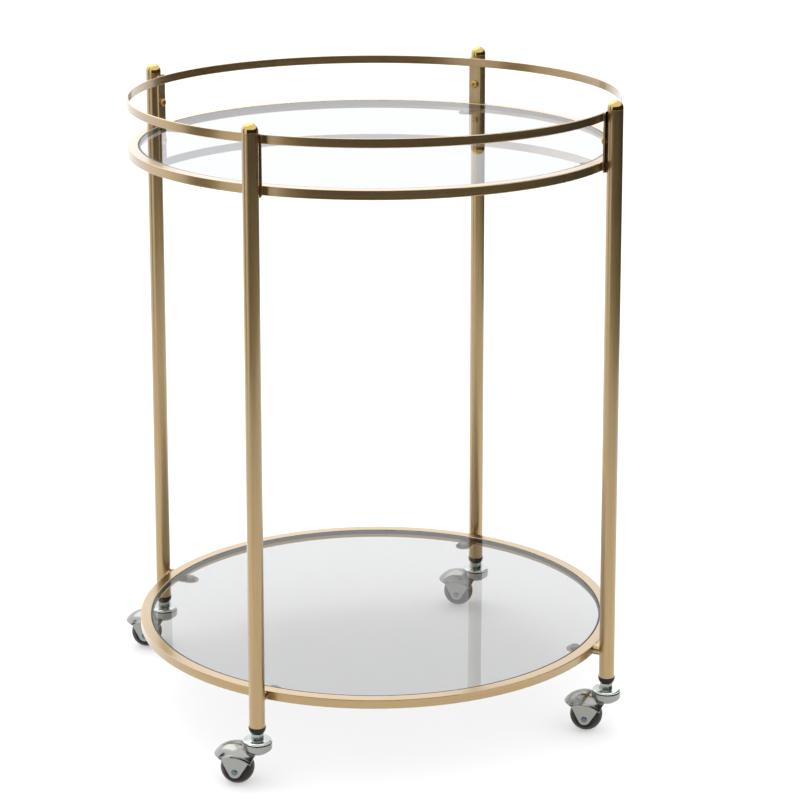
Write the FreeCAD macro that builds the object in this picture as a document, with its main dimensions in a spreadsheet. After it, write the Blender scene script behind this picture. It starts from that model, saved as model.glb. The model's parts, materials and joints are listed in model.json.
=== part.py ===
import FreeCAD, Part

# Round two-tier bar cart on four ball casters.
# Millimetres, +Z up. The origin is on the floor, on the axis of the two rings.
# The four legs stand at 45 degrees to the X and Y axes.

import math
import os

import Sketcher

doc = FreeCAD.newDocument("bar_cart")

# ----------------------------------------------------------------------------
# Driving dimensions
# ----------------------------------------------------------------------------
DIMENSIONS = (
    # overall
    ("overall_height", 750, "floor to the top of the leg caps"),
    ("ring_outer_diameter", 570, "both ring frames and the gallery rail"),
    ("ring_width", 12.5, "ring frame section, across"),
    ("ring_height", 10.5, "ring frame section, up"),
    ("lower_ring_base", 95, "floor to the underside of the lower ring"),
    ("tier_clearance", 565, "lower ring top to upper ring underside"),
    ("gallery_height", 55, "upper ring top to rail top"),
    ("rail_height", 10, "gallery rail flat bar, up"),
    ("rail_thickness", 2.5, "gallery rail flat bar, across"),
    ("edge_round", 0.8, "rounded edges of the ring frames"),
    # legs
    ("tube_diameter", 18, "leg tube, outside"),
    ("tube_wall", 1.2, "leg tube wall"),
    ("tube_foot_height", 68, "floor to the lower end of the tube"),
    ("cap_band", 1.5, "straight band of the cap under its dome"),
    ("cap_spigot", 14, "cap spigot inside the tube"),
    ("push_gap", 0.1, "gap of the pushed-in plastic and brass spigots"),
    ("plug_drop", 7.4, "plug below the end of the tube"),
    ("plug_depth", 20, "plug inside the tube"),
    ("plug_shoulder", 0.7, "plug shoulder proud of the tube"),
    ("plug_edge", 0.8, "straight band of the plug shoulder"),
    ("plug_foot", 6.6, "radius of the plug's lower end"),
    ("plug_curve", 9, "rounding of the plug"),
    ("insert_radius", 5.5, "threaded insert inside the plug"),
    ("insert_recess", 0.4, "insert above the plug's lower end"),
    # upper connectors
    ("plate_thickness", 2, "upper connector plate"),
    ("plate_width", 15, "upper connector plate"),
    ("plate_rise", 1, "plate top above the rail top"),
    ("plate_drop", 2.5, "plate end below the upper ring"),
    ("plate_corner", 2.5, "rounded corners of the plate"),
    ("weld_leg", 1.4, "leg length of the fillet welds"),
    # lower connectors
    ("spacer_length", 6.5, "lower ring to leg"),
    ("spacer_diameter", 12, "lower spacer boss"),
    ("spacer_flare", 12.8, "weld flare of the boss at the ring"),
    ("spacer_height", 99.4, "floor to the axis of the boss"),
    # glass
    ("glass_thickness", 5, "tempered glass disc"),
    ("glass_gap", 0.3, "glass edge to ring"),
    ("glass_drop", 0.4, "glass top below the ring top"),
    ("glass_bevel", 0.6, "ground edge of the glass"),
    ("tab_thickness", 1.5, "glass support tab"),
    ("tab_width", 20, "glass support tab"),
    ("tab_length", 22, "glass support tab, inwards from the ring"),
    ("pad_diameter", 10, "silicone pad under the glass"),
    # fasteners
    ("pan_screw", 4.9, "upper screw shank"),
    ("pan_head", 9.4, "upper screw head"),
    ("pan_rise", 3.4, "upper screw head height"),
    ("sunk_screw", 3.9, "lower screw shank"),
    ("sunk_head", 6.2, "lower countersunk head"),
    ("sunk_depth", 0.2, "countersunk head below the inner wall of the ring"),
    ("sunk_play", 0.15, "play of the countersunk head in its seat"),
    ("hole_play", 0.2, "radial play of the screw holes"),
    ("thread_play", 0.12, "radial play drawn in the threads"),
    ("nut_wall", 1.1, "wall of a rivet nut"),
    ("nut_bulge", 1, "upset collar of a rivet nut inside the tube"),
    ("nut_length", 9, "rivet nut, from the outside of the tube"),
    ("recess_width", 1, "slots of the cross recess"),
    ("recess_span", 4.2, "cross recess from end to end"),
    # caster wheel and axle
    ("wheel_diameter", 38, "ball wheel"),
    ("caster_offset", 23, "swivel axis to wheel axle"),
    ("wheel_half_width", 15.2, "centre to the flat side of the ball"),
    ("wheel_hub", 4.6, "radius of the hub boss"),
    ("wheel_well", 9, "radius of the sunk ring round the hub"),
    ("wheel_sink", 1.2, "depth of the sunk ring"),
    ("hub_half_width", 16.3, "centre to the hub face"),
    ("axle_diameter", 5, "riveted axle"),
    ("axle_play", 0.03, "radial play of the axle in the ears"),
    ("rivet_radius", 3.6, "head of the axle rivet"),
    ("rivet_flat", 1.8, "flat middle of the rivet head"),
    ("rivet_rise", 1.3, "height of the rivet head"),
    ("rivet_curve", 2.2, "rounding of the rivet head"),
    ("running_gap", 0.08, "radial running fit of wheel and swivel"),
    # caster hood
    ("ear_inner", 16.6, "centre to the inner face of a fork ear"),
    ("ear_outer", 18.4, "centre to the outer face of a fork ear"),
    ("ear_tip", 7.2, "radius of the ear about the axle"),
    ("ear_front", 15.3, "axle to the front corner of the ear, along"),
    ("ear_front_height", 33.3, "floor to the front corner of the ear"),
    ("ear_back", 15.8, "axle to the back corner of the ear, along"),
    ("ear_back_height", 30.4, "floor to the back corner of the ear"),
    ("dome_length", 29.5, "half length of the domed hood"),
    ("dome_width", 24.5, "half width of the domed hood"),
    ("dome_rise", 26.3, "centre to the crown of the dome"),
    ("dome_centre", 22.3, "floor to the centre of the dome"),
    ("hood_wall", 2, "cast wall of the hood"),
    ("rim_slope", 8.6, "degrees that the hood rim rises towards its front"),
    ("rim_back", 27.6, "floor to the rim at its back"),
    ("arch_radius", 26.7, "arch of the rim over each ear"),
    ("arch_along", 24.6, "swivel axis to the centre of the arch"),
    ("arch_height", 10.4, "floor to the centre of the arch"),
    ("lip_width", 2.3, "raised lip along the arch"),
    ("lip_rise", 0.6, "lip above the dome"),
    ("wheel_pocket", 20, "round pocket of the hood about the wheel"),
    ("throat_radius", 13, "hollow curve behind the wheel, under the pan"),
    ("throat_back", 8, "swivel axis back to the centre of that curve"),
    ("throat_height", 27, "floor to the centre of that curve"),
    ("pan_radius", 16.5, "swivel pan of the hood"),
    ("pan_base", 36.6, "floor to the underside of the pan"),
    ("pan_base_radius", 8.4, "flat underside of the pan"),
    ("pan_skirt", 13.9, "radius where the underside turns up"),
    ("pan_skirt_height", 40.4, "floor to that turn"),
    ("pan_wall_base", 43.6, "floor to the straight wall of the pan"),
    ("pan_top", 49.6, "floor to the pan top"),
    # caster disc, race and stem
    ("race_radius", 11, "pitch radius of the swivel ball race"),
    ("race_ball", 3, "swivel bearing ball diameter"),
    ("race_height", 50.6, "floor to the ball centres"),
    ("race_gap", 0.1, "groove round the balls"),
    ("disc_radius", 16.1, "cover disc over the race"),
    ("disc_rim", 50.9, "floor to the lower edge of the disc"),
    ("disc_under", 52.8, "floor to the underside of the disc"),
    ("disc_wall", 1, "pressed wall of the disc"),
    ("stem_shank", 7, "stem shank through the disc and the pan"),
    ("shank_foot", 37.3, "floor to the peened end of the shank"),
    ("peen_radius", 4.4, "peened end of the shank"),
    ("peen_height", 1.4, "peened end, up"),
    ("peen_room", 0.6, "room round the peened end in its counterbore"),
    ("collar_base", 54, "floor to the underside of the hexagon collar"),
    ("collar_height", 6.3, "hexagon collar of the stem"),
    ("collar_corners", 14.2, "hexagon collar across its corners"),
    ("stem_thread", 7.9, "threaded stem"),
    ("stem_thread_length", 22, "threaded stem above the collar"),
)
BALLS_PER_RACE = 9

# corner name, azimuth of the leg, rest heading of the trailing caster (degrees)
CORNERS = (
    ("front_left", -135, 152.5),
    ("front_right", -45, 148),
    ("rear_right", 45, 150),
    ("rear_left", 135, 156),
)

sizes = doc.addObject("Spreadsheet::Sheet", "Sizes")
for row, (alias, number, note) in enumerate(DIMENSIONS, start=1):
    sizes.set("A%d" % row, alias)
    sizes.set("B%d" % row, str(number))
    sizes.set("C%d" % row, note)
    sizes.setAlias("B%d" % row, alias)
doc.recompute()

# Formulas that several pieces share
RING_RADIUS = "Sizes.ring_outer_diameter / 2"
RING_INSIDE = "(Sizes.ring_outer_diameter / 2 - Sizes.ring_width)"
LOWER_TOP = "(Sizes.lower_ring_base + Sizes.ring_height)"
UPPER_BASE = "(%s + Sizes.tier_clearance)" % LOWER_TOP
UPPER_TOP = "(%s + Sizes.ring_height)" % UPPER_BASE
RAIL_TOP = "(%s + Sizes.gallery_height)" % UPPER_TOP
TUBE_RADIUS = "(Sizes.tube_diameter / 2)"
TUBE_BORE = "(Sizes.tube_diameter / 2 - Sizes.tube_wall)"
PLATE_TOP = "(%s + Sizes.plate_rise)" % RAIL_TOP
PLATE_LENGTH = "(Sizes.plate_rise + Sizes.gallery_height + Sizes.ring_height + Sizes.plate_drop)"
SCREW_HEIGHT = "((%s + %s - Sizes.rail_height) / 2)" % (UPPER_TOP, RAIL_TOP)


def size(formula):
    """The number that a sheet formula gives."""
    return float(sizes.evalExpression(formula))


# ----------------------------------------------------------------------------
# Places
# ----------------------------------------------------------------------------
# The legs lean inwards a little, because the boss of the lower ring is longer
# than the plate of the upper one is thick.
upper_seat = size("%s + Sizes.plate_thickness + %s" % (RING_RADIUS, TUBE_RADIUS))
lower_seat = size("%s + Sizes.spacer_length + %s" % (RING_RADIUS, TUBE_RADIUS))
lean = math.atan2(lower_seat - upper_seat, size(PLATE_TOP + " - Sizes.spacer_height"))
foot_height = size("Sizes.tube_foot_height")
foot_radius = lower_seat + (size("Sizes.spacer_height") - foot_height) * math.tan(lean)
cap_height = size("Sizes.cap_band + " + TUBE_RADIUS)
tube_length = (size("Sizes.overall_height") - cap_height - foot_height) / math.cos(lean)

VECTOR = FreeCAD.Vector
ALONG_X = FreeCAD.Rotation(VECTOR(0, 1, 0), 90)
ALONG_Y = FreeCAD.Rotation(VECTOR(1, 0, 0), -90)


def at(x=0.0, y=0.0, z=0.0, turn=None):
    return FreeCAD.Placement(VECTOR(x, y, z), turn or FreeCAD.Rotation())


def polar(azimuth):
    """Frame whose X axis points outwards at an azimuth."""
    return at(turn=FreeCAD.Rotation(VECTOR(0, 0, 1), azimuth))


def leg_frame(azimuth):
    """Frame at the foot of a leg, with Z up along the leaning tube."""
    tilt = FreeCAD.Rotation(VECTOR(0, 1, 0), -math.degrees(lean))
    return polar(azimuth).multiply(at(foot_radius, 0, foot_height, tilt))


def caster_frame(azimuth, heading):
    """Frame on the floor under a swivel axis, with X towards the wheel."""
    turned = at(foot_radius, 0, 0, FreeCAD.Rotation(VECTOR(0, 0, 1), heading - azimuth))
    return polar(azimuth).multiply(turned)


# ----------------------------------------------------------------------------
# Helpers that draw bound shapes
# ----------------------------------------------------------------------------
nodes = []


def keep(thing, label, placement=None):
    """Name a finished sub-part, put it in place and list it for export."""
    thing.Label = label
    if placement is not None:
        thing.Placement = placement
    nodes.append(thing)
    return thing


def bind(thing, **formulas):
    for name, formula in formulas.items():
        thing.setExpression(name, formula)
    return thing


def cylinder(name, radius, height, placement=None):
    rod = doc.addObject("Part::Cylinder", name)
    bind(rod, Radius=radius, Height=height)
    rod.Placement = placement or at()
    return rod


def cone(name, radius_start, radius_end, height, placement=None):
    taper = doc.addObject("Part::Cone", name)
    bind(taper, Radius1=radius_start, Radius2=radius_end, Height=height)
    taper.Placement = placement or at()
    return taper


def sphere(name, radius, placement=None):
    ball = doc.addObject("Part::Sphere", name)
    bind(ball, Radius=radius)
    ball.Placement = placement or at()
    return ball


def box(name, length, width, height, placement=None):
    block = doc.addObject("Part::Box", name)
    bind(block, Length=length, Width=width, Height=height)
    block.Placement = placement or at()
    return block


def fuse(name, *pieces):
    joined = doc.addObject("Part::MultiFuse", name)
    joined.Shapes = list(pieces)
    joined.Refine = True
    return joined


def cut(name, base, *tools):
    left = doc.addObject("Part::Cut", name)
    left.Base = base
    left.Tool = tools[0] if len(tools) == 1 else fuse(name + "_tools", *tools)
    left.Refine = True
    return left


def common(name, first, second):
    shared = doc.addObject("Part::Common", name)
    shared.Base = first
    shared.Tool = second
    shared.Refine = True
    return shared


def group(name, pieces):
    """Several identical, separate solids under one name."""
    many = doc.addObject("Part::Compound", name)
    many.Links = list(pieces)
    return keep(many, name)


def new_sketch(body, name, role):
    sketch = body.newObject("Sketcher::SketchObject", name)
    plane = [item for item in body.Origin.OriginFeatures if item.Role == role][0]
    sketch.AttachmentSupport = [(plane, "")]
    sketch.MapMode = "FlatFace"
    return sketch


def arc_centre(start, end, radius, side):
    """Centre of an arc, on the left (+1) or right (-1) of start to end."""
    middle = (start + end) * 0.5
    chord = end - start
    rise = math.sqrt(max(radius ** 2 - (chord.Length / 2) ** 2, 0.0))
    left = VECTOR(-chord.y, chord.x, 0).normalize()
    return middle + left * (rise * side)


def add_segment(sketch, start, end, radius=None, side=1):
    """A line, or an arc of a given radius, from start to end."""
    if radius is None:
        return sketch.addGeometry(Part.LineSegment(start, end), False)
    centre = arc_centre(start, end, radius, side)
    first = math.atan2(start.y - centre.y, start.x - centre.x)
    last = math.atan2(end.y - centre.y, end.x - centre.x)
    if side < 0:
        first, last = last, first
    circle = Part.Circle(centre, VECTOR(0, 0, 1), radius)
    return sketch.addGeometry(Part.ArcOfCircle(circle, first, last), False)


def outline(sketch, corners):
    """A closed outline bound to the sheet.

    Each corner is (x, y), or (x, y, radius, side) where an arc arrives at it.
    """
    points = [VECTOR(size(corner[0]), size(corner[1]), 0) for corner in corners]
    ends = []
    for index, corner in enumerate(corners):
        bent = len(corner) > 2
        radius = size(corner[2]) if bent else None
        side = corner[3] if bent else 1
        line = add_segment(sketch, points[index - 1], points[index], radius, side)
        ends.append((line, 1, 2) if side > 0 else (line, 2, 1))
        if bent:
            radial = sketch.addConstraint(Sketcher.Constraint("Radius", line, radius))
            sketch.setExpression("Constraints[%d]" % radial, corner[2])
    for index, corner in enumerate(corners):
        line, _, tail = ends[index]
        follower, head, _ = ends[(index + 1) % len(corners)]
        sketch.addConstraint(Sketcher.Constraint("Coincident", line, tail, follower, head))
        for kind, value, formula in (
            ("DistanceX", points[index].x, corner[0]),
            ("DistanceY", points[index].y, corner[1]),
        ):
            constraint = Sketcher.Constraint(kind, -1, 1, line, tail, value)
            number = sketch.addConstraint(constraint)
            sketch.setExpression("Constraints[%d]" % number, formula)


def turned(name, corners):
    """A body of revolution about Z; corners give radius and height."""
    body = doc.addObject("PartDesign::Body", name)
    sketch = new_sketch(body, name + "_profile", "XZ_Plane")
    outline(sketch, corners)
    spin = body.newObject("PartDesign::Revolution", name + "_turn")
    spin.Profile = sketch
    spin.ReferenceAxis = (sketch, ["V_Axis"])
    spin.Angle = 360
    return body


def sheet_metal(name, corners, thickness):
    """A flat body in the XY plane, padded upwards."""
    body = doc.addObject("PartDesign::Body", name)
    sketch = new_sketch(body, name + "_outline", "XY_Plane")
    outline(sketch, corners)
    pad = body.newObject("PartDesign::Pad", name + "_pad")
    pad.Profile = sketch
    pad.setExpression("Length", thickness)
    return body


# ----------------------------------------------------------------------------
# Ring frames and gallery rail
# ----------------------------------------------------------------------------
def rounded_ring(name, inner, outer, base, top):
    """A flat ring with rounded edges on its rectangular section."""
    turn = "Sizes.edge_round"
    return turned(name, (
        ("%s + %s" % (inner, turn), base, turn, 1),
        ("%s - %s" % (outer, turn), base),
        (outer, "%s + %s" % (base, turn), turn, 1),
        (outer, "%s - %s" % (top, turn)),
        ("%s - %s" % (outer, turn), top, turn, 1),
        ("%s + %s" % (inner, turn), top),
        (inner, "%s - %s" % (top, turn), turn, 1),
        (inner, "%s + %s" % (base, turn)),
    ))


def sunk_hole(name, azimuth):
    """Clearance of one countersunk screw through the lower ring."""
    lead = 0.5
    wall = "Sizes.sunk_head / 2 + Sizes.sunk_depth + Sizes.sunk_play"
    shank = "Sizes.sunk_screw / 2 + Sizes.hole_play"
    start = polar(azimuth).multiply(
        at(size(RING_INSIDE) - lead, 0, size("Sizes.spacer_height"), ALONG_X))
    seat = cone(name + "_seat", "%s + %g" % (wall, lead), shank,
                "%s + %g - (%s)" % (wall, lead, shank), start)
    bore = cylinder(name + "_bore", shank, "Sizes.ring_width + 10", start)
    return seat, bore


def make_rings():
    keep(rounded_ring("upper_ring", RING_INSIDE, RING_RADIUS, UPPER_BASE, UPPER_TOP), "upper_ring")
    blank = rounded_ring("lower_ring_blank", RING_INSIDE, RING_RADIUS,
                         "Sizes.lower_ring_base", LOWER_TOP)
    holes = []
    for corner, azimuth, _ in CORNERS:
        holes += sunk_hole("ring_hole_" + corner, azimuth)
    keep(cut("lower_ring_drilled", blank, *holes), "lower_ring")
    rail_inside = "(%s - Sizes.rail_thickness)" % RING_RADIUS
    rail_base = "(%s - Sizes.rail_height)" % RAIL_TOP
    keep(rounded_ring("gallery_rail", rail_inside, RING_RADIUS, rail_base, RAIL_TOP),
         "gallery_rail")


# ----------------------------------------------------------------------------
# Glass shelves on their tabs and pads
# ----------------------------------------------------------------------------
def make_glass(label, ring_top):
    edge = "(%s - Sizes.glass_gap)" % RING_INSIDE
    top = "(%s - Sizes.glass_drop)" % ring_top
    base = "(%s - Sizes.glass_thickness)" % top
    bevel = "Sizes.glass_bevel"
    keep(turned(label, (
        ("0", base),
        ("%s - %s" % (edge, bevel), base),
        (edge, "%s + %s" % (base, bevel)),
        (edge, "%s - %s" % (top, bevel)),
        ("%s - %s" % (edge, bevel), top),
        ("0", top),
    )), label)


def make_supports(tier, ring_base, ring_top):
    """Four rounded tabs inside a ring, each with a clear pad for the glass."""
    tabs = []
    pads = []
    half = "Sizes.tab_width / 2"
    tip = "(%s - Sizes.tab_length)" % RING_INSIDE
    shoulder = "(%s + %s)" % (tip, half)
    root = "sqrt(pow(%s; 2) - pow(%s; 2))" % (RING_INSIDE, half)
    pad_gap = "(%s - Sizes.glass_drop - Sizes.glass_thickness - %s - Sizes.tab_thickness)" % (
        ring_top, ring_base)
    for corner, azimuth, _ in CORNERS:
        tab = sheet_metal("%s_tab_%s" % (tier, corner), (
            (root, "-" + half),
            (root, half, RING_INSIDE, 1),
            (shoulder, half),
            (tip, "0", half, 1),
            (shoulder, "-" + half, half, 1),
        ), "Sizes.tab_thickness")
        tab.Placement = polar(azimuth).multiply(at(0, 0, size(ring_base)))
        tabs.append(tab)
        pad_place = at(size(shoulder), 0, size(ring_base + " + Sizes.tab_thickness"))
        pads.append(cylinder("%s_pad_%s" % (tier, corner), "Sizes.pad_diameter / 2", pad_gap,
                             polar(azimuth).multiply(pad_place)))
    group(tier + "_glass_tabs", tabs)
    group(tier + "_glass_pads", pads)


# ----------------------------------------------------------------------------
# Legs with caps and plugs
# ----------------------------------------------------------------------------
def make_leg(corner, azimuth):
    frame = leg_frame(azimuth)
    length = "%.6f" % tube_length
    outside = cylinder("tube_outside_" + corner, TUBE_RADIUS, length)
    inside = cylinder("tube_inside_" + corner, TUBE_BORE, length)
    upper_hole = cylinder("upper_nut_hole_" + corner,
                          "Sizes.pan_screw / 2 + Sizes.nut_wall + 0.1", TUBE_RADIUS,
                          at(-size(TUBE_RADIUS) - 1, 0, size(SCREW_HEIGHT) - foot_height, ALONG_X))
    lower_hole = cylinder("lower_nut_hole_" + corner,
                          "Sizes.sunk_screw / 2 + Sizes.nut_wall + 0.1", TUBE_RADIUS,
                          at(-size(TUBE_RADIUS) - 1, 0,
                             size("Sizes.spacer_height") - foot_height, ALONG_X))
    tube = cut("tube_" + corner, outside, inside, upper_hole, lower_hole)
    keep(tube, "leg_" + corner, frame)


def make_cap(corner, azimuth):
    """Polished dome on a short band, with a spigot that goes into the tube."""
    spigot = "(%s - Sizes.push_gap)" % TUBE_BORE
    cap = turned("cap_" + corner, (
        ("0", "-Sizes.cap_spigot"),
        (spigot, "-Sizes.cap_spigot"),
        (spigot, "0"),
        (TUBE_RADIUS, "0"),
        (TUBE_RADIUS, "Sizes.cap_band"),
        ("0", "Sizes.cap_band + " + TUBE_RADIUS, TUBE_RADIUS, 1),
    ))
    keep(cap, "leg_cap_" + corner, leg_frame(azimuth).multiply(at(0, 0, tube_length)))


def make_plug(corner, azimuth):
    """Black plastic end plug with a rounded shoulder, bored for its insert."""
    spigot = "(%s - Sizes.push_gap)" % TUBE_BORE
    shoulder = "(%s + Sizes.plug_shoulder)" % TUBE_RADIUS
    plug = turned("plug_" + corner, (
        ("Sizes.insert_radius", "-Sizes.plug_drop"),
        ("Sizes.plug_foot", "-Sizes.plug_drop"),
        (shoulder, "-Sizes.plug_edge", "Sizes.plug_curve", 1),
        (shoulder, "0"),
        (spigot, "0"),
        (spigot, "Sizes.plug_depth"),
        ("Sizes.insert_radius", "Sizes.plug_depth"),
    ))
    keep(plug, "leg_plug_" + corner, leg_frame(azimuth))


def make_inserts():
    """Threaded steel insert inside each plug, for the caster stem."""
    inserts = []
    bore = "(Sizes.stem_thread / 2 + 0.25)"
    outside = "(Sizes.insert_radius - 0.05)"
    base = "(Sizes.insert_recess - Sizes.plug_drop)"
    top = "(Sizes.plug_depth - 2)"
    for corner, azimuth, _ in CORNERS:
        insert = turned("insert_" + corner, (
            (bore, base), (outside, base), (outside, top), (bore, top)))
        insert.Placement = leg_frame(azimuth)
        inserts.append(insert)
    group("stem_inserts", inserts)


# ----------------------------------------------------------------------------
# Upper connectors: plate welded to ring and rail, screwed to the leg
# ----------------------------------------------------------------------------
def make_plate(corner, azimuth):
    half = "Sizes.plate_width / 2"
    low = "-%s / 2" % PLATE_LENGTH
    high = "%s / 2" % PLATE_LENGTH
    turn = "Sizes.plate_corner"
    plate = sheet_metal("plate_" + corner, (
        ("%s - %s" % (half, turn), low),
        (half, "%s + %s" % (low, turn), turn, 1),
        (half, "%s - %s" % (high, turn)),
        ("%s - %s" % (half, turn), high, turn, 1),
        ("%s - %s" % (turn, half), high),
        ("-" + half, "%s - %s" % (high, turn), turn, 1),
        ("-" + half, "%s + %s" % (low, turn)),
        ("%s - %s" % (turn, half), low, turn, 1),
    ), "Sizes.plate_thickness")
    middle = size("%s - %s / 2" % (PLATE_TOP, PLATE_LENGTH))
    hole = cylinder("plate_hole_" + corner, "Sizes.pan_screw / 2 + Sizes.hole_play",
                    "Sizes.plate_thickness * 3",
                    at(0, size(SCREW_HEIGHT) - middle, -size("Sizes.plate_thickness")))
    # the plate's own XY plane stands up across the radius: X to the side, Y up
    upright = FreeCAD.Rotation(VECTOR(0, 1, 0), VECTOR(0, 0, 1), VECTOR(1, 0, 0), "ZXY")
    drilled = cut("plate_drilled_" + corner, plate, hole)
    keep(drilled, "connector_plate_" + corner,
         polar(azimuth).multiply(at(size(RING_RADIUS), 0, middle, upright)))


def make_welds():
    """Fillet welds at both sides of each plate, on the ring and on the rail."""
    beads = []
    seams = (
        ("ring", UPPER_BASE, "Sizes.ring_height"),
        ("rail", "(%s - Sizes.rail_height)" % RAIL_TOP, "Sizes.rail_height"),
    )
    inset = 1.2
    for corner, azimuth, _ in CORNERS:
        for part, base, height in seams:
            for side in (-1, 1):
                name = "weld_%s_%s_%s" % (part, corner, "left" if side > 0 else "right")
                place = polar(azimuth).multiply(
                    at(size(RING_RADIUS), side * size("Sizes.plate_width / 2"),
                       size(base) + inset))
                bead = cylinder(name + "_bead", "Sizes.weld_leg",
                                "%s - %g" % (height, 2 * inset), place)
                ring = cylinder(name + "_ring", RING_RADIUS, height, at(0, 0, size(base)))
                plate = box(name + "_plate", "Sizes.plate_thickness * 2", "Sizes.plate_width",
                            height, polar(azimuth).multiply(
                                at(size(RING_RADIUS) - 1, -size("Sizes.plate_width / 2"),
                                   size(base))))
                beads.append(cut(name, bead, ring, plate))
    group("weld_beads", beads)


# ----------------------------------------------------------------------------
# Lower connectors: flared boss between ring and leg
# ----------------------------------------------------------------------------
def make_spacer(corner, azimuth):
    height = size("Sizes.spacer_height")
    start = size(RING_RADIUS) - 2
    boss = cylinder("boss_" + corner, "Sizes.spacer_diameter / 2", "Sizes.spacer_length + 8",
                    polar(azimuth).multiply(at(start, 0, height, ALONG_X)))
    flare = cone("boss_flare_" + corner, "Sizes.spacer_flare / 2", "Sizes.spacer_diameter / 2",
                 "4", polar(azimuth).multiply(at(start + 0.5, 0, height, ALONG_X)))
    ring = cylinder("boss_ring_" + corner, RING_RADIUS, "40", at(0, 0, height - 20))
    tube = cylinder("boss_tube_" + corner, TUBE_RADIUS, "80",
                    leg_frame(azimuth).multiply(at(0, 0, -10)))
    bore = cylinder("boss_bore_" + corner, "Sizes.sunk_screw / 2 + Sizes.hole_play", "30",
                    polar(azimuth).multiply(at(start - 5, 0, height, ALONG_X)))
    solid = fuse("boss_solid_" + corner, boss, flare)
    keep(cut("boss_cut_" + corner, solid, ring, tube, bore), "spacer_" + corner)


# ----------------------------------------------------------------------------
# Screws and rivet nuts
# ----------------------------------------------------------------------------
def cross_recess(name, depth, placement):
    """Two crossed slots of a driver recess."""
    slots = []
    corner = at(-size("Sizes.recess_span") / 2, -size("Sizes.recess_width") / 2, -1)
    for turn in (0, 90):
        middle = placement.multiply(at(turn=FreeCAD.Rotation(VECTOR(0, 0, 1), turn)))
        slots.append(box("%s_slot_%d" % (name, turn), "Sizes.recess_span",
                         "Sizes.recess_width", "%g" % (depth + 1), middle.multiply(corner)))
    return slots


def make_screws():
    """Four pan-head screws above and four countersunk screws below."""
    upper = []
    lower = []
    upper_length = "14"
    lower_length = "Sizes.ring_width + Sizes.spacer_length + 11"
    for corner, azimuth, _ in CORNERS:
        place = polar(azimuth).multiply(
            at(size(RING_RADIUS + " - Sizes.pan_rise"), 0, size(SCREW_HEIGHT), ALONG_X))
        pan = turned("pan_" + corner, (
            ("0", "0"),
            ("Sizes.pan_head / 2 - 1.8", "0"),
            ("Sizes.pan_head / 2", "1.8", "1.8", 1),
            ("Sizes.pan_head / 2", "Sizes.pan_rise"),
            ("Sizes.pan_screw / 2", "Sizes.pan_rise"),
            ("Sizes.pan_screw / 2", "Sizes.pan_rise + " + upper_length),
            ("0", "Sizes.pan_rise + " + upper_length),
        ))
        pan.Placement = place
        upper.append(cut("pan_screw_" + corner, pan, *cross_recess("pan_" + corner, 1.8, place)))
        place = polar(azimuth).multiply(
            at(size(RING_INSIDE + " + Sizes.sunk_depth"), 0, size("Sizes.spacer_height"), ALONG_X))
        sunk = turned("sunk_" + corner, (
            ("0", "0"),
            ("Sizes.sunk_head / 2", "0"),
            ("Sizes.sunk_screw / 2", "Sizes.sunk_head / 2 - Sizes.sunk_screw / 2"),
            ("Sizes.sunk_screw / 2", lower_length),
            ("0", lower_length),
        ))
        sunk.Placement = place
        lower.append(cut("sunk_screw_" + corner, sunk,
                         *cross_recess("sunk_" + corner, 1.2, place)))
    group("upper_screws", upper)
    group("lower_screws", lower)


def make_rivet_nuts():
    """Threaded sleeves set in the legs, one for each screw."""
    nuts = []
    for corner, azimuth, _ in CORNERS:
        for level, shank, height in (
            ("upper", "Sizes.pan_screw", size(SCREW_HEIGHT)),
            ("lower", "Sizes.sunk_screw", size("Sizes.spacer_height")),
        ):
            bore = "(%s / 2 + Sizes.thread_play)" % shank
            sleeve = "(%s / 2 + Sizes.nut_wall)" % shank
            collar = "(%s + Sizes.nut_bulge)" % sleeve
            nut = turned("nut_%s_%s" % (level, corner), (
                (bore, "0.9"),
                (sleeve, "0.9"),
                (sleeve, "2.6"),
                (collar, "2.9"),
                (collar, "3.9"),
                (sleeve, "4.6"),
                (sleeve, "Sizes.nut_length"),
                (bore, "Sizes.nut_length"),
            ))
            place = at(-size(TUBE_RADIUS), 0, height - foot_height, ALONG_X)
            nut.Placement = leg_frame(azimuth).multiply(place)
            nuts.append(nut)
    group("leg_rivet_nuts", nuts)


# ----------------------------------------------------------------------------
# Casters
# ----------------------------------------------------------------------------
def make_stem(corner, place):
    """Threaded stem with a hexagon collar and a peened lower end."""
    thread = cylinder("thread_" + corner, "Sizes.stem_thread / 2", "Sizes.stem_thread_length",
                      at(0, 0, size("Sizes.collar_base + Sizes.collar_height")))
    collar = doc.addObject("Part::Prism", "collar_" + corner)
    collar.Polygon = 6
    bind(collar, Circumradius="Sizes.collar_corners / 2", Height="Sizes.collar_height")
    collar.Placement = at(0, 0, size("Sizes.collar_base"))
    peen_top = "(Sizes.shank_foot + Sizes.peen_height)"
    shank = turned("shank_" + corner, (
        ("0", "Sizes.shank_foot"),
        ("Sizes.peen_radius - 1", "Sizes.shank_foot"),
        ("Sizes.peen_radius", "Sizes.shank_foot + 0.7", "1.4", 1),
        ("Sizes.peen_radius", peen_top),
        ("Sizes.stem_shank / 2", peen_top),
        ("Sizes.stem_shank / 2", "Sizes.collar_base"),
        ("0", "Sizes.collar_base"),
    ))
    keep(fuse("stem_" + corner, thread, collar, shank), "caster_stem_" + corner, place)


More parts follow.
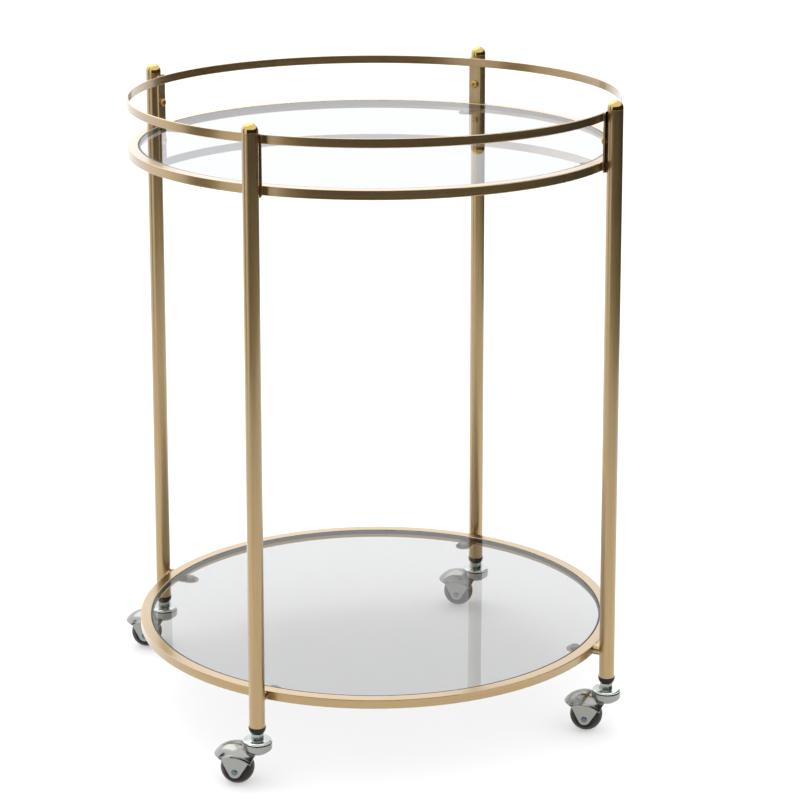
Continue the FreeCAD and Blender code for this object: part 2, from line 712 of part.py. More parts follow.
def make_disc(corner, place):
    """Dished cover disc that holds the upper ball race."""
    bore = "(Sizes.stem_shank / 2 + 0.02)"
    disc = turned("disc_" + corner, (
        (bore, "Sizes.disc_under"),
        ("Sizes.disc_radius - 7.1", "Sizes.disc_under"),
        ("Sizes.disc_radius - 2.3", "Sizes.disc_rim + 1.05"),
        ("Sizes.disc_radius - Sizes.disc_wall", "Sizes.disc_rim + 0.3"),
        ("Sizes.disc_radius - Sizes.disc_wall", "Sizes.disc_rim"),
        ("Sizes.disc_radius", "Sizes.disc_rim"),
        ("Sizes.disc_radius", "Sizes.disc_rim + 1"),
        ("Sizes.disc_radius - 1.8", "Sizes.disc_rim + 2.4", "2", 1),
        ("Sizes.disc_radius - 6.9", "Sizes.collar_base"),
        (bore, "Sizes.collar_base"),
    ))
    keep(disc, "caster_disc_" + corner, place)


def ellipsoid(name, grow, middle):
    """The dome's own ellipsoid, made larger or smaller all round by a formula."""
    egg = doc.addObject("Part::Ellipsoid", name)
    bind(egg, Radius1="Sizes.dome_rise + " + grow, Radius2="Sizes.dome_length + " + grow,
         Radius3="Sizes.dome_width + " + grow)
    egg.Placement = middle
    return egg


def make_pan(name):
    """Swivel pan of the hood, with the lower groove of the ball race."""
    bore = "(Sizes.stem_shank / 2 + Sizes.running_gap)"
    pan = turned(name + "pan", (
        (bore, "Sizes.pan_base"),
        ("Sizes.pan_base_radius", "Sizes.pan_base"),
        ("Sizes.pan_skirt", "Sizes.pan_skirt_height", "12", 1),
        ("Sizes.pan_radius", "Sizes.pan_wall_base", "3.4", 1),
        ("Sizes.pan_radius", "Sizes.pan_top"),
        (bore, "Sizes.pan_top"),
    ))
    groove = doc.addObject("Part::Torus", name + "race")
    bind(groove, Radius1="Sizes.race_radius", Radius2="Sizes.race_ball / 2 + Sizes.race_gap")
    groove.Placement = at(0, 0, size("Sizes.race_height"))
    return cut(name + "pan_race", pan, groove)


def make_shell(name, middle):
    """Domed shell cut off by its sloping rim, with a lip over each arch."""
    wide = 80
    arch_place = at(size("Sizes.arch_along"), -wide / 2, size("Sizes.arch_height"), ALONG_Y)
    lip_outside = cylinder(name + "lip_outside", "Sizes.arch_radius + Sizes.lip_width", "80",
                           arch_place)
    lip = common(name + "lip", lip_outside, ellipsoid(name + "lip_skin", "Sizes.lip_rise", middle))
    bulk = fuse(name + "bulk", ellipsoid(name + "dome", "0", middle), lip)
    slope = size("Sizes.rim_slope")
    back = -wide / 2
    start = size("Sizes.rim_back") + back * math.tan(math.radians(slope))
    tilt = FreeCAD.Rotation(VECTOR(0, 1, 0), -slope)
    above_rim = box(name + "above_rim", "130", "80", "60", at(back, back, start, tilt))
    arch = cylinder(name + "arch", "Sizes.arch_radius", "80", arch_place)
    throat = cylinder(name + "throat", "Sizes.throat_radius", "80",
                      at(-size("Sizes.throat_back"), back, size("Sizes.throat_height"), ALONG_Y))
    return cut(name + "arched", common(name + "rimmed", bulk, above_rim), arch, throat)


def make_hood(corner, place):
    """Cast hood: swivel pan, dome over the wheel and two fork ears."""
    name = "hood_%s_" % corner
    offset = size("Sizes.caster_offset")
    axle_height = size("Sizes.wheel_diameter / 2")
    middle = at(offset, 0, size("Sizes.dome_centre"))
    outer = fuse(name + "outer", make_shell(name, middle), make_pan(name))
    front = box(name + "front", "40", "80", "60", at(offset / 2, -40, 0))
    hollow = common(name + "hollow", ellipsoid(name + "inside", "-Sizes.hood_wall", middle), front)
    pocket = sphere(name + "pocket", "Sizes.wheel_pocket", at(offset, 0, axle_height))
    kingpin = cylinder(name + "kingpin", "Sizes.stem_shank / 2 + Sizes.running_gap", "30",
                       at(0, 0, size("Sizes.shank_foot")))
    peen_room = cylinder(name + "peen_room", "Sizes.peen_radius + Sizes.peen_room", "6",
                         at(0, 0, size("Sizes.shank_foot + Sizes.peen_height + Sizes.race_gap") - 6))
    shell = cut(name + "shell", outer, hollow, pocket, kingpin, peen_room)

    ears = [make_ear(name + side, sign, middle) for side, sign in (("left", 1), ("right", -1))]
    whole = fuse(name + "whole", shell, *ears)
    axle_hole = cylinder(name + "axle_hole", "Sizes.axle_diameter / 2 + Sizes.axle_play", "60",
                         at(offset, -30, axle_height, ALONG_Y))
    keep(cut(name + "drilled", whole, axle_hole), "caster_hood_" + corner, place)


def touching_angle(along, rise, radius, side):
    """Direction from a circle's centre to where a line from a point touches it."""
    distance = math.hypot(along, rise)
    return math.atan2(rise, along) - side * math.acos(radius / distance)


def make_ear(name, sign, middle):
    """Pointed fork ear, rounded about the axle, that runs up inside the dome."""
    body = doc.addObject("PartDesign::Body", name + "_ear")
    sketch = new_sketch(body, name + "_ear_outline", "XY_Plane")
    # the outline's X runs along the heading and its Y runs up
    axle = size("Sizes.caster_offset")
    height = size("Sizes.wheel_diameter / 2")
    radius = size("Sizes.ear_tip")
    front = touching_angle(size("Sizes.ear_front"), size("Sizes.ear_front_height") - height,
                           radius, 1)
    back = touching_angle(-size("Sizes.ear_back"), size("Sizes.ear_back_height") - height,
                          radius, -1)
    outline(sketch, (
        ("%.4f" % (axle + radius * math.cos(front)), "%.4f" % (height + radius * math.sin(front)),
         "Sizes.ear_tip", 1),
        ("Sizes.caster_offset + Sizes.ear_front", "Sizes.ear_front_height"),
        ("Sizes.caster_offset - Sizes.ear_back", "Sizes.ear_back_height",
         "Sizes.arch_radius", 1),
        ("%.4f" % (axle + radius * math.cos(back)), "%.4f" % (height + radius * math.sin(back))),
    ))
    pad = body.newObject("PartDesign::Pad", name + "_ear_pad")
    pad.Profile = sketch
    pad.setExpression("Length", "Sizes.ear_outer - Sizes.ear_inner")
    # the pad grows towards -Y once it stands up
    outer_face = size("Sizes.ear_outer") if sign > 0 else -size("Sizes.ear_inner")
    body.Placement = at(0, outer_face, 0, FreeCAD.Rotation(VECTOR(1, 0, 0), 90))
    root = box(name + "_root", "27", "Sizes.ear_outer - Sizes.ear_inner", "11",
               at(axle - 13.5, outer_face - size("Sizes.ear_outer - Sizes.ear_inner"), 30))
    limit = ellipsoid(name + "_limit", "-0.6", middle)
    return fuse(name, body, common(name + "_tongue", root, limit))


def make_wheel(corner, place):
    """Ball-shaped wheel with flat sides, a sunk ring and a plain hub bore."""
    radius = "Sizes.wheel_diameter / 2"
    flat = "sqrt(pow(%s; 2) - pow(Sizes.wheel_half_width; 2))" % radius
    bore = "(Sizes.axle_diameter / 2 + Sizes.running_gap)"
    half = "Sizes.wheel_half_width"
    sunk = "(Sizes.wheel_half_width - Sizes.wheel_sink)"
    hub = "Sizes.hub_half_width"
    wheel = turned("wheel_" + corner, (
        (bore, "-" + hub),
        ("Sizes.wheel_hub", "-" + hub),
        ("Sizes.wheel_hub", "-" + sunk),
        ("Sizes.wheel_well", "-" + sunk),
        ("Sizes.wheel_well", "-" + half),
        (flat, "-" + half),
        (flat, half, radius, 1),
        ("Sizes.wheel_well", half),
        ("Sizes.wheel_well", sunk),
        ("Sizes.wheel_hub", sunk),
        ("Sizes.wheel_hub", hub),
        (bore, hub),
    ))
    keep(wheel, "caster_wheel_" + corner, place.multiply(axle_place()))


def axle_place():
    """Frame on the axle with Z along it."""
    return at(size("Sizes.caster_offset"), 0, size("Sizes.wheel_diameter / 2"), ALONG_Y)


def make_axle(corner, place):
    """Riveted axle with a low domed head at each ear."""
    radius = "Sizes.axle_diameter / 2"
    ear = "Sizes.ear_outer"
    end = "(Sizes.ear_outer + Sizes.rivet_rise)"
    curve = "Sizes.rivet_curve"
    axle = turned("axle_" + corner, (
        ("0", "-" + end),
        ("Sizes.rivet_flat", "-" + end),
        ("Sizes.rivet_radius", "-" + ear, curve, 1),
        (radius, "-" + ear),
        (radius, ear),
        ("Sizes.rivet_radius", ear),
        ("Sizes.rivet_flat", end, curve, 1),
        ("0", end),
    ))
    keep(axle, "caster_axle_" + corner, place.multiply(axle_place()))


def make_race_balls():
    """Bearing balls between each cover disc and swivel pan."""
    balls = []
    for corner, azimuth, heading in CORNERS:
        frame = caster_frame(azimuth, heading)
        for number in range(BALLS_PER_RACE):
            spot = polar(360.0 * number / BALLS_PER_RACE).multiply(
                at(size("Sizes.race_radius"), 0, size("Sizes.race_height")))
            balls.append(sphere("ball_%s_%d" % (corner, number), "Sizes.race_ball / 2",
                                frame.multiply(spot)))
    group("swivel_bearing_balls", balls)


# ----------------------------------------------------------------------------
# Assembly
# ----------------------------------------------------------------------------
make_rings()
make_glass("upper_glass", UPPER_TOP)
make_glass("lower_glass", LOWER_TOP)
make_supports("upper", UPPER_BASE, UPPER_TOP)
make_supports("lower", "Sizes.lower_ring_base", LOWER_TOP)
for corner, azimuth, heading in CORNERS:
    make_leg(corner, azimuth)
    make_cap(corner, azimuth)
    make_plug(corner, azimuth)
    make_plate(corner, azimuth)
    make_spacer(corner, azimuth)
    floor_place = caster_frame(azimuth, heading)
    make_stem(corner, floor_place)
    make_disc(corner, floor_place)
    make_hood(corner, floor_place)
    make_wheel(corner, floor_place)
    make_axle(corner, floor_place)
make_inserts()
make_welds()
make_screws()
make_rivet_nuts()
make_race_balls()
doc.recompute()

# ----------------------------------------------------------------------------
# Checks and export
# ----------------------------------------------------------------------------
for thing in doc.Objects:
    if "Invalid" in thing.State or "Error" in thing.State:
        raise RuntimeError("failed object: %s %s" % (thing.Name, thing.State))

os.makedirs("parts", exist_ok=True)
for node in nodes:
    shape = node.Shape
    if shape.isNull() or not shape.isValid() or not shape.Solids:
        raise RuntimeError("bad shape: " + node.Label)
    shape.exportStep("parts/%s.step" % node.Label)
print("%d nodes, foot radius %.2f mm, lean %.3f degrees" % (
    len(nodes), foot_radius, math.degrees(lean)))
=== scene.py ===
# %% [markdown]
# # A round bar cart on ball casters
# The cart has two ring frames with glass shelves, a flat gallery rail, four tube legs
# and four casters. Its solid shapes come from the CAD model, already at true size and in
# metres. This lesson gives every piece the finish of the real one, softens a few edges,
# and then sets up a small white studio and the camera.

# %% Load the cart
import json
import math

import bpy
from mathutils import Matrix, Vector


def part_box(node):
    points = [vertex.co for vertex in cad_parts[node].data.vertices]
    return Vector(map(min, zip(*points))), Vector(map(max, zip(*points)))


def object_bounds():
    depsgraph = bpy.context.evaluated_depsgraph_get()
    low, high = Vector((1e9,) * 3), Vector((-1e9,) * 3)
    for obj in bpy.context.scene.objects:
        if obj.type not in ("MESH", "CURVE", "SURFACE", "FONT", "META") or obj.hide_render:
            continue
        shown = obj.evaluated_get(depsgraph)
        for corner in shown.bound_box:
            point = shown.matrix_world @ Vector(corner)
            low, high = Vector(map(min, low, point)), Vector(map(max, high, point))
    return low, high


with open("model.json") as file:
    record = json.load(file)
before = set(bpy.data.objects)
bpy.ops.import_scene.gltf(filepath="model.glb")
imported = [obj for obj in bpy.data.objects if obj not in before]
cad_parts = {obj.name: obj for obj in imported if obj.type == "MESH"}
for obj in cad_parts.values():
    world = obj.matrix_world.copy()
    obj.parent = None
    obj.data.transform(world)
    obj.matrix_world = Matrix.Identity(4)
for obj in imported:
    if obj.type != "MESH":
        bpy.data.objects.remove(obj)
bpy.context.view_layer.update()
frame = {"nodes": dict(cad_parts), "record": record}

MM = 0.001
nodes = frame["nodes"]

# %% [markdown]
# ## Which pieces share a finish
# The record names a material slot for each node. Reading the slots from it keeps this
# script and the record in step: a slot is renamed in one place only.

# %% Sort the nodes by slot
slot_of = {part["node"]: part["material_slot"] for part in frame["record"]["subparts"]}
in_slot = {}
for name in sorted(nodes):
    in_slot.setdefault(slot_of[name], []).append(name)
for slot, names in sorted(in_slot.items()):
    print(slot, len(names))

# %% [markdown]
# ## Colour and node helpers
# Colours are picked as sRGB hex values, as on a paint card. Shaders work in linear light,
# so one function turns a hex value into linear red, green and blue. A second function
# adds any node with its settings and links, so each recipe below reads as a short list.
# No pressed, turned or cast edge is ever razor sharp: it has a radius of a few tenths of
# a millimetre that catches the light. A Bevel node bends the shading there, which costs
# no geometry, and the fine bumps of each finish are added on top of it.


# %% Helpers for materials
def linear(hex_value):
    """Linear colour with alpha from an sRGB hex value such as "#CDB284"."""
    channels = [int(hex_value[i:i + 2], 16) / 255 for i in (1, 3, 5)]
    bent = [c / 12.92 if c <= 0.04045 else ((c + 0.055) / 1.055) ** 2.4 for c in channels]
    return (*bent, 1.0)


def new_material(name, **shader_settings):
    """A material with one Principled shader; settings are its socket names."""
    material = bpy.data.materials.new(name)
    material.use_nodes = True
    shader = material.node_tree.nodes["Principled BSDF"]
    for socket, value in shader_settings.items():
        shader.inputs[socket.replace("_", " ")].default_value = value
    print("material", name)
    return material, shader


def add(material, kind, settings=None, links=None):
    """Adds a node. Settings are properties or sockets, links feed sockets from others."""
    node = material.node_tree.nodes.new("ShaderNode" + kind)
    for key, value in (settings or {}).items():
        if isinstance(key, str) and hasattr(node, key):
            setattr(node, key, value)
        else:
            node.inputs[key].default_value = value
    for key, source in (links or {}).items():
        material.node_tree.links.new(source, node.inputs[key])
    return node


def feed(material, source, shader, socket):
    material.node_tree.links.new(source, shader.inputs[socket])


def uneven_surface(material, shader, height, strength, depth, edge):
    """Bumps of a depth in mm on top of edges softened to a radius in mm."""
    softened = add(material, "Bevel", {"Radius": edge * MM, "samples": 6})
    bumps = add(material, "Bump", {"Strength": strength, "Distance": depth * MM},
                {"Height": height, "Normal": softened.outputs["Normal"]})
    feed(material, bumps.outputs["Normal"], shader, "Normal")


# %% [markdown]
# ## Satin gold: brass-plated, brushed and lacquered steel
# The frame is steel that an abrasive belt has brushed lengthwise before it was plated
# in a pale brass and sealed with clear lacquer. To the eye that is a warm metal whose
# reflections are soft and drawn out, with faint hairlines along each bar, and a lacquer
# that turns almost white at a glancing angle. Belt grit leaves lines about 0.1 mm wide,
# too fine to show here, so they are drawn about 0.7 mm wide. Noise stretched along the
# bar makes them. On a ring the bar runs round the cart's axis, so radius and height
# vary fast there and the place along the ring slowly; on a leg only the height is slow.

# %% Satin gold
HAIRLINE_WIDTH = 0.7 * MM
HAIRLINE_LENGTH = 1 / 6  # metres: a line fades over about 17 cm
RUBBED_AREA = 1 / 9  # metres: handling and polishing leave areas about 11 cm across
GOLD_IN_A_GROOVE = "#A1865A"
GOLD_ON_A_RIDGE = "#B3986C"


def hairlines_round_a_ring(material, place):
    """Noise that is fine across radius and height, and long round the cart's axis."""
    flat = add(material, "VectorMath", {"operation": "MULTIPLY", 1: (1, 1, 0)},
               {0: place.outputs["Object"]})
    radius = add(material, "VectorMath", {"operation": "LENGTH"}, {0: flat.outputs[0]})
    across = add(material, "Math", {"operation": "MULTIPLY", 1: 1 / HAIRLINE_WIDTH},
                 {0: radius.outputs["Value"]})
    stretch = (1 / HAIRLINE_LENGTH, 1 / HAIRLINE_LENGTH, 1 / HAIRLINE_WIDTH)
    scaled = add(material, "VectorMath", {"operation": "MULTIPLY", 1: stretch},
                 {0: place.outputs["Object"]})
    return add(material, "TexNoise", {"noise_dimensions": "4D", "Scale": 1.0,
                                      "Detail": 3.0, "Roughness": 0.6},
               {"Vector": scaled.outputs[0], "W": across.outputs[0]})


def hairlines_up_a_tube(material, place):
    """Noise that is fine in plan, and long up the leg."""
    stretch = (1 / HAIRLINE_WIDTH, 1 / HAIRLINE_WIDTH, 1 / HAIRLINE_LENGTH)
    scaled = add(material, "VectorMath", {"operation": "MULTIPLY", 1: stretch},
                 {0: place.outputs["Object"]})
    return add(material, "TexNoise", {"Scale": 1.0, "Detail": 3.0, "Roughness": 0.6},
               {"Vector": scaled.outputs[0]})


def brushed_gold(name, hairlines):
    """Brushed and lacquered gold, with the hairlines that one of the functions makes."""
    material, shader = new_material(name, Metallic=1.0, Coat_Weight=1.0, Coat_Roughness=0.14)
    place = add(material, "TexCoord")
    streaks = hairlines(material, place)
    # rubbed areas are a little glossier than the rest
    rubbed = add(material, "TexNoise", {"Scale": 1 / RUBBED_AREA, "Detail": 2.0},
                 {"Vector": place.outputs["Object"]})
    lines = add(material, "Math", {"operation": "MULTIPLY_ADD", 1: 0.6, 2: 0.2},
                {0: streaks.outputs["Fac"]})
    lines_and_areas = add(material, "Math", {"operation": "MULTIPLY_ADD", 1: 0.4},
                          {0: rubbed.outputs["Fac"], 2: lines.outputs[0]})
    gloss = add(material, "MapRange", {"From Min": 0.35, "From Max": 1.05,
                                       "To Min": 0.24, "To Max": 0.4},
                {"Value": lines_and_areas.outputs[0]})
    feed(material, gloss.outputs["Result"], shader, "Roughness")
    tone = add(material, "ValToRGB", links={"Fac": streaks.outputs["Fac"]})
    groove, ridge = tone.color_ramp.elements
    groove.position, groove.color = 0.3, linear(GOLD_IN_A_GROOVE)
    ridge.position, ridge.color = 0.7, linear(GOLD_ON_A_RIDGE)
    feed(material, tone.outputs["Color"], shader, "Base Color")
    uneven_surface(material, shader, streaks.outputs["Fac"], strength=0.25, depth=0.02, edge=0.3)
    return material


gold_ring = brushed_gold("satin_gold_brushed_round_the_ring", hairlines_round_a_ring)
gold_tube = brushed_gold("satin_gold_brushed_up_the_tube", hairlines_up_a_tube)

# %% [markdown]
# ## Polished brass: the domed leg caps and the screws
# The caps are turned solid brass, buffed bright. Brass is yellower than the plated
# frame and mirrors the room sharply, with faint smudges where fingers touch it. A broad
# soft noise changes the roughness a little, which is all that polish shows from here.
# The screws are the same metal left as it came from the press, so they are duller.

# %% Polished brass and plain brass
def turned_or_cast_metal(name, colour, gloss, patch, dent, edge=0.25):
    """Metal whose roughness wanders between two values over patches of a size in mm."""
    material, shader = new_material(name, Metallic=1.0, Base_Color=linear(colour))
    place = add(material, "TexCoord")
    patches = add(material, "TexNoise", {"Scale": 1 / (patch * MM), "Detail": 3.0},
                  {"Vector": place.outputs["Object"]})
    wander = add(material, "MapRange", {"From Min": 0.3, "From Max": 0.7,
                                        "To Min": gloss[0], "To Max": gloss[1]},
                 {"Value": patches.outputs["Fac"]})
    feed(material, wander.outputs["Result"], shader, "Roughness")
    uneven_surface(material, shader, patches.outputs["Fac"], strength=0.3, depth=dent, edge=edge)
    return material


polished_brass = turned_or_cast_metal("brass_turned_and_buffed", "#BDA264",
                                      gloss=(0.06, 0.14), patch=2, dent=0.2)
plain_brass = turned_or_cast_metal("brass_pressed_screw", "#B99658",
                                   gloss=(0.25, 0.4), patch=1.5, dent=0.03)

# %% [markdown]
# ## Chrome and zinc: the casters
# The caster hoods are zinc castings under nickel and chrome. Chrome is a darker grey
# than people expect, and the skin of a casting waves gently every few millimetres,
# which bends its reflections. The cover discs are pressed steel under bright zinc,
# a little greenish. The stems and inserts are plain zinc-plated steel, a greyer metal,
# and the rivets that serve as axles are blue-passivated, which tints the zinc.

# %% Chrome and zinc
chrome = turned_or_cast_metal("chrome_over_zinc_casting", "#999994",
                              gloss=(0.13, 0.24), patch=6, dent=0.08, edge=0.9)
bright_zinc = turned_or_cast_metal("bright_zinc_on_pressed_steel", "#E0E6E3",
                                   gloss=(0.12, 0.25), patch=4, dent=0.02, edge=0.5)
dull_zinc = turned_or_cast_metal("passivated_zinc_on_turned_steel", "#A3ACA6",
                                 gloss=(0.2, 0.35), patch=1.5, dent=0.02)
blue_zinc = turned_or_cast_metal("blue_zinc_on_rivets", "#62747F",
                                 gloss=(0.15, 0.3), patch=1.5, dent=0.02)

# %% [markdown]
# ## Plastics: black plugs and brown-black wheels
# The plugs are moulded polyethylene with a faint orange-peel skin. The wheels are
# moulded nylon, nearly black with a brown cast. A wheel that has rolled over a floor is
# finely scuffed, so a small noise breaks its gloss and lifts its colour in specks.

# %% Moulded plastics
SCUFF = 7 * MM


def moulded_plastic(name, dark, pale, gloss, grain, depth, sheen):
    """Plastic (IOR 1.5) with a moulded grain in mm; handling has dulled its sheen."""
    material, shader = new_material(name, IOR=1.5, Specular_IOR_Level=sheen)
    place = add(material, "TexCoord")
    skin = add(material, "TexNoise", {"Scale": 1 / (grain * MM), "Detail": 4.0,
                                      "Roughness": 0.6},
               {"Vector": place.outputs["Object"]})
    scuffs = add(material, "TexNoise", {"Scale": 1 / SCUFF, "Detail": 5.0, "Roughness": 0.7},
                 {"Vector": place.outputs["Object"]})
    tone = add(material, "ValToRGB", links={"Fac": scuffs.outputs["Fac"]})
    whole, scuffed = tone.color_ramp.elements
    whole.position, whole.color = 0.42, linear(dark)
    scuffed.position, scuffed.color = 0.72, linear(pale)
    feed(material, tone.outputs["Color"], shader, "Base Color")
    wander = add(material, "MapRange", {"From Min": 0.3, "From Max": 0.7,
                                        "To Min": gloss[0], "To Max": gloss[1]},
                 {"Value": scuffs.outputs["Fac"]})
    feed(material, wander.outputs["Result"], shader, "Roughness")
    uneven_surface(material, shader, skin.outputs["Fac"], strength=0.35, depth=depth, edge=0.5)
    return material


black_plastic = moulded_plastic("polyethylene_moulded_black", "#0D0B0B", "#191615",
                                gloss=(0.4, 0.55), grain=0.9, depth=0.06, sheen=0.3)
wheel_plastic = moulded_plastic("nylon_moulded_brown_black", "#150E0C", "#291E1A",
                                gloss=(0.3, 0.5), grain=1.2, depth=0.05, sheen=0.25)

# %% [markdown]
# ## Float glass with a ground edge and a painted shade line
# Each shelf is tempered float glass, 5 mm thick. Its faces are flat and flawless: they
# only mirror and let light through, losing a little to the iron in the glass, and that
# same iron makes the ground edge dark green. A refracting shader would hold back the
# studio light and leave a dark floor, so the face mixes a mirror with clear
# transparency by Fresnel. The Fresnel term is used where a ray enters, a little weakened
# because the sky here is brighter than a real room, and switched off where it leaves,
# because a ray that isn't bent would look as if it were trapped inside. The dark green
# band is wherever the glass is farther from the cart's axis than a set width in from the
# rim. That width is more than the grinding: part of the band is the ground edge, and
# part is painted shade for the dark gap between the glass and the ring.

# %% Glass
GLASS_IOR = 1.52
MIRROR_SHARE = 0.8
DIAMOND_GRIT = 0.8 * MM
# wider than a real ground edge: the band also paints the shade of the gap between glass and ring
EDGE_AND_SHADE_BAND_WIDTH = 1.8 * MM
EDGE_GREEN_AND_GAP_SHADE = "#1F2E22"
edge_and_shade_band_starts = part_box("upper_glass")[1].x - EDGE_AND_SHADE_BAND_WIDTH


def flawless_face(material, tint):
    """Clear glass that mirrors by Fresnel where a ray enters."""
    clear = add(material, "BsdfTransparent", {"Color": linear(tint)})
    mirror = add(material, "BsdfGlossy", {"Roughness": 0.0, "Color": linear("#FFFFFF")})
    fresnel = add(material, "Fresnel", {"IOR": GLASS_IOR})
    surface = add(material, "NewGeometry")
    entering = add(material, "Math", {"operation": "SUBTRACT", 0: 1.0},
                   {1: surface.outputs["Backfacing"]})
    weakened = add(material, "Math", {"operation": "MULTIPLY", 1: MIRROR_SHARE},
                   {0: fresnel.outputs["Fac"]})
    shine = add(material, "Math", {"operation": "MULTIPLY", "use_clamp": True},
                {0: weakened.outputs[0], 1: entering.outputs[0]})
    return add(material, "MixShader", links={0: shine.outputs[0], 1: clear.outputs[0],
                                             2: mirror.outputs[0]})


def float_glass(name, tint):
    material, edge_and_gap_shade_shader = new_material(name, IOR=GLASS_IOR, Base_Color=linear(EDGE_GREEN_AND_GAP_SHADE))
    place = add(material, "TexCoord")
    # diamond grinding leaves fine tracks, so the edge is dull and a little uneven
    grit = add(material, "TexNoise", {"Scale": 1 / DIAMOND_GRIT, "Detail": 3.0},
               {"Vector": place.outputs["Object"]})
    dull = add(material, "MapRange", {"To Min": 0.25, "To Max": 0.5},
               {"Value": grit.outputs["Fac"]})
    feed(material, dull.outputs["Result"], edge_and_gap_shade_shader, "Roughness")
    flat = add(material, "VectorMath", {"operation": "MULTIPLY", 1: (1, 1, 0)},
               {0: place.outputs["Object"]})
    radius = add(material, "VectorMath", {"operation": "LENGTH"}, {0: flat.outputs[0]})
    # painted shade: within this width of the rim the faces turn dark green as well as the edge
    in_edge_and_shade_band = add(material, "Math", {"operation": "GREATER_THAN", 1: edge_and_shade_band_starts},
                  {0: radius.outputs["Value"]})
    face = flawless_face(material, tint)
    shelf = add(material, "MixShader", links={0: in_edge_and_shade_band.outputs[0], 1: face.outputs[0],
                                              2: edge_and_gap_shade_shader.outputs[0]})
    feed(material, shelf.outputs[0], material.node_tree.nodes["Material Output"], "Surface")
    return material


glass = float_glass("float_glass_with_ground_edge_and_gap_shade", "#E7E8EA")
# the same glass again, with a darker tint that paints the shade falling under the cart
glass_with_painted_shade = float_glass("float_glass_tinted_with_painted_shade", "#E2E2E2")
# the printed start is that of the whole dark band, ground edge and painted gap shade together
print("ground edge starts at", round(edge_and_shade_band_starts, 5))

# %% [markdown]
# ## Silicone pads
# Small clear silicone pads keep the glass off the metal tabs. Silicone is milky and
# soft-looking: light passes through but is scattered, so it is drawn as a rough
# transmitting plastic with silicone's IOR of 1.41 and a faint moulded grain.

# %% Silicone
PAD_GRAIN = 0.8 * MM
silicone, pad_shader = new_material("silicone_clear_moulded", IOR=1.41,
                                    Transmission_Weight=0.7,
                                    Base_Color=linear("#EDEFEA"))
pad_place = add(silicone, "TexCoord")
pad_grain = add(silicone, "TexNoise", {"Scale": 1 / PAD_GRAIN, "Detail": 2.0},
                {"Vector": pad_place.outputs["Object"]})
pad_gloss = add(silicone, "MapRange", {"To Min": 0.3, "To Max": 0.5},
                {"Value": pad_grain.outputs["Fac"]})
feed(silicone, pad_gloss.outputs["Result"], pad_shader, "Roughness")

# %% [markdown]
# ## Dress the pieces
# Most slots have one finish. The gold slot has two: one for the bars that run round the
# cart's axis, and one for everything that stands upright. The lower shelf looks greyer
# than the upper one, so it has its own glass, whose darker tint is painted shade for the
# shaded floor under the cart. The rivets that serve as axles have their own blue zinc.

# %% Put the finishes on
FINISHES = {
    "satin_gold_steel": gold_tube,
    "polished_brass": polished_brass,
    "clear_glass": glass,
    "chrome_plate": chrome,
    "zinc_plate": bright_zinc,
    "zinc_steel": dull_zinc,
    "black_plastic": black_plastic,
    "dark_wheel_plastic": wheel_plastic,
    "clear_silicone": silicone,
    "brass_screw": plain_brass,
}
ROUND_BARS = ("gallery_rail", "upper_ring", "lower_ring")

OWN_FINISH = {name: gold_ring for name in ROUND_BARS}
# the lower shelf gets the darker tint, painted shade for the floor under the cart
OWN_FINISH["lower_glass"] = glass_with_painted_shade
OWN_FINISH.update((name, blue_zinc) for name in nodes if name.startswith("caster_axle_"))

for name, piece in sorted(nodes.items()):
    finish = OWN_FINISH.get(name, FINISHES[slot_of[name]])
    piece.data.materials.clear()
    piece.data.materials.append(finish)
print("dressed", len(nodes), "nodes, of which", len(OWN_FINISH), "have a finish of their own")

# %% [markdown]
# ## A small white studio: the floor
# The cart stands on a white paper floor that is so wide that it runs out of sight.
# Paper scatters light evenly and is faintly mottled. The floor also glows, as a light
# table does, which thins the shadows under the cart and under its glass shelves.

# %% Floor
FLOOR_WIDTH = 60
lowest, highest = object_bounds()


def glowing_paper(name, dark, pale, glow):
    """Diffuse paper, mottled between two whites, that glows as well."""
    material, shader = new_material(name, Roughness=0.9, Emission_Strength=glow)
    place = add(material, "TexCoord")
    mottle = add(material, "TexNoise", {"Scale": 3.0, "Detail": 3.0},
                 {"Vector": place.outputs["Object"]})
    tone = add(material, "ValToRGB", links={"Fac": mottle.outputs["Fac"]})
    tone.color_ramp.elements[0].color = linear(dark)
    tone.color_ramp.elements[1].color = linear(pale)
    feed(material, tone.outputs["Color"], shader, "Base Color")
    feed(material, tone.outputs["Color"], shader, "Emission Color")
    return material


def studio_sheet(name, corners, faces, material):
    """A thin mesh that belongs to the studio and not to the cart."""
    mesh = bpy.data.meshes.new(name)
    mesh.from_pydata(corners, [], faces)
    mesh.materials.append(material)
    sheet = bpy.data.objects.new(name, mesh)
    bpy.context.scene.collection.objects.link(sheet)
    return sheet


reach = FLOOR_WIDTH / 2
paper = glowing_paper("white_paper", "#B9B9B8", "#BEBEBD", glow=0.85)
floor = studio_sheet("studio_floor", [(-reach, -reach, 0), (reach, -reach, 0),
                                      (reach, reach, 0), (-reach, reach, 0)],
                     [(0, 1, 2, 3)], paper)
floor.location.z = lowest.z
print("floor at height", round(floor.location.z, 4))

# %% [markdown]
# ## Two black cards
# Gold and chrome show what is around them, so a room that is white all round makes them
# look flat. Two black cards are bent round the front and one side of the cart, and only
# reflections can see them. They give the upper bars and tubes their dark bands, while
# the lower ones still mirror the white floor. Angles are counted from the camera's side.

# %% Black cards
VIEW_AZIMUTH = math.radians(-108.8)
CARD_RADIUS, CARD_HEIGHT = 1.85, 1.5
CARD_PANELS = 24
black_card = new_material("black_card", Roughness=0.9, Base_Color=linear("#1C1816"))[0]


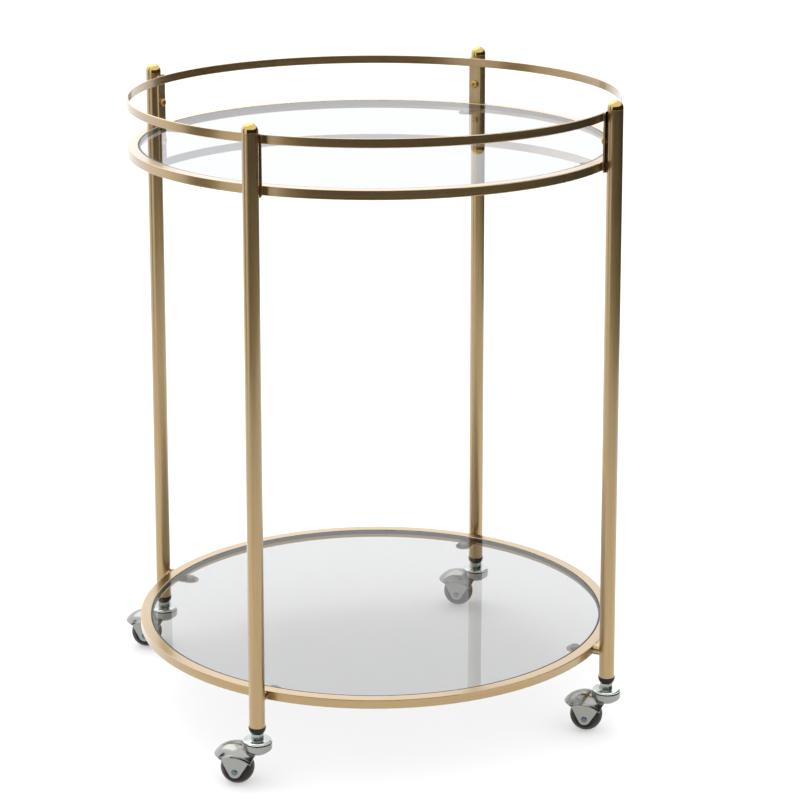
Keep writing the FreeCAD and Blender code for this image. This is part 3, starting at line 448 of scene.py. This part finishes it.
def curved_card(name, left, right):
    """An upright card bent round the cart, between two angles off the camera."""
    corners = []
    for step in range(CARD_PANELS + 1):
        turn = left + (right - left) * step / CARD_PANELS
        angle = VIEW_AZIMUTH + math.radians(turn)
        foot = Vector((math.cos(angle), math.sin(angle), 0)) * CARD_RADIUS
        corners += [foot, foot + Vector((0, 0, CARD_HEIGHT))]
    panels = [(i, i + 2, i + 3, i + 1) for i in range(0, 2 * CARD_PANELS, 2)]
    card = studio_sheet(name, corners, panels, black_card)
    card.visible_camera = False
    card.visible_diffuse = False
    card.visible_shadow = False
    card.visible_transmission = False
    print(name, "from", left, "to", right, "degrees")


curved_card("narrow_black_card", -88, -70)
curved_card("wide_black_card", -40, 140)

# %% [markdown]
# ## The light
# An even white sky lights the cart from all sides. One big soft box above and behind the
# cart adds a soft highlight on whatever faces up. It is turned to the cart's middle.

# %% Sky and soft box
SKY_STRENGTH = 1.5
SOFT_BOX_WIDTH, SOFT_BOX_POWER = 3.0, 35
soft_box_spot = Vector((-0.3, 1.3, 2.6))

sky = bpy.data.worlds.new("white_sky")
sky.use_nodes = True
sky.node_tree.nodes["Background"].inputs["Color"].default_value = linear("#FBFCFF")
sky.node_tree.nodes["Background"].inputs["Strength"].default_value = SKY_STRENGTH
bpy.context.scene.world = sky

lamp = bpy.data.lights.new("soft_box_above", "AREA")
lamp.shape = "SQUARE"
lamp.size = SOFT_BOX_WIDTH
lamp.energy = SOFT_BOX_POWER
soft_box = bpy.data.objects.new("soft_box_above", lamp)
bpy.context.scene.collection.objects.link(soft_box)
soft_box.visible_camera = False
backward = soft_box_spot - (lowest + highest) / 2
soft_box.location = soft_box_spot
soft_box.rotation_euler = backward.to_track_quat("Z", "Y").to_euler()
print("soft box at", [round(v, 2) for v in soft_box_spot])

# %% [markdown]
# ## The camera
# A long lens from almost three metres keeps the two rings close to the same width. The
# camera looks down about fifteen degrees and a touch to the right of the cart's axis.
# The Standard view shows every colour as it was picked, and keeps the white sky white.

# %% Camera
CAMERA_DISTANCE = 2.814
CAMERA_HEIGHT = 1.2136
LOOK_DOWN = math.radians(14.895)
LOOK_RIGHT = math.radians(0.598)
LENS, SENSOR_WIDTH = 110.97, 36
FRAME_SHIFT = -0.1

camera_data = bpy.data.cameras.new("camera")
camera_data.lens = LENS
camera_data.sensor_width = SENSOR_WIDTH
camera_data.shift_y = FRAME_SHIFT
camera = bpy.data.objects.new("camera", camera_data)
bpy.context.scene.collection.objects.link(camera)
toward_camera = Vector((math.cos(VIEW_AZIMUTH), math.sin(VIEW_AZIMUTH), 0))
camera.location = toward_camera * CAMERA_DISTANCE + Vector((0, 0, CAMERA_HEIGHT + lowest.z))
heading = VIEW_AZIMUTH + math.pi - LOOK_RIGHT
camera.rotation_euler = (math.pi / 2 - LOOK_DOWN, 0, heading - math.pi / 2)
bpy.context.scene.camera = camera
bpy.context.scene.view_settings.view_transform = "Standard"
print("camera at", [round(v, 3) for v in camera.location])
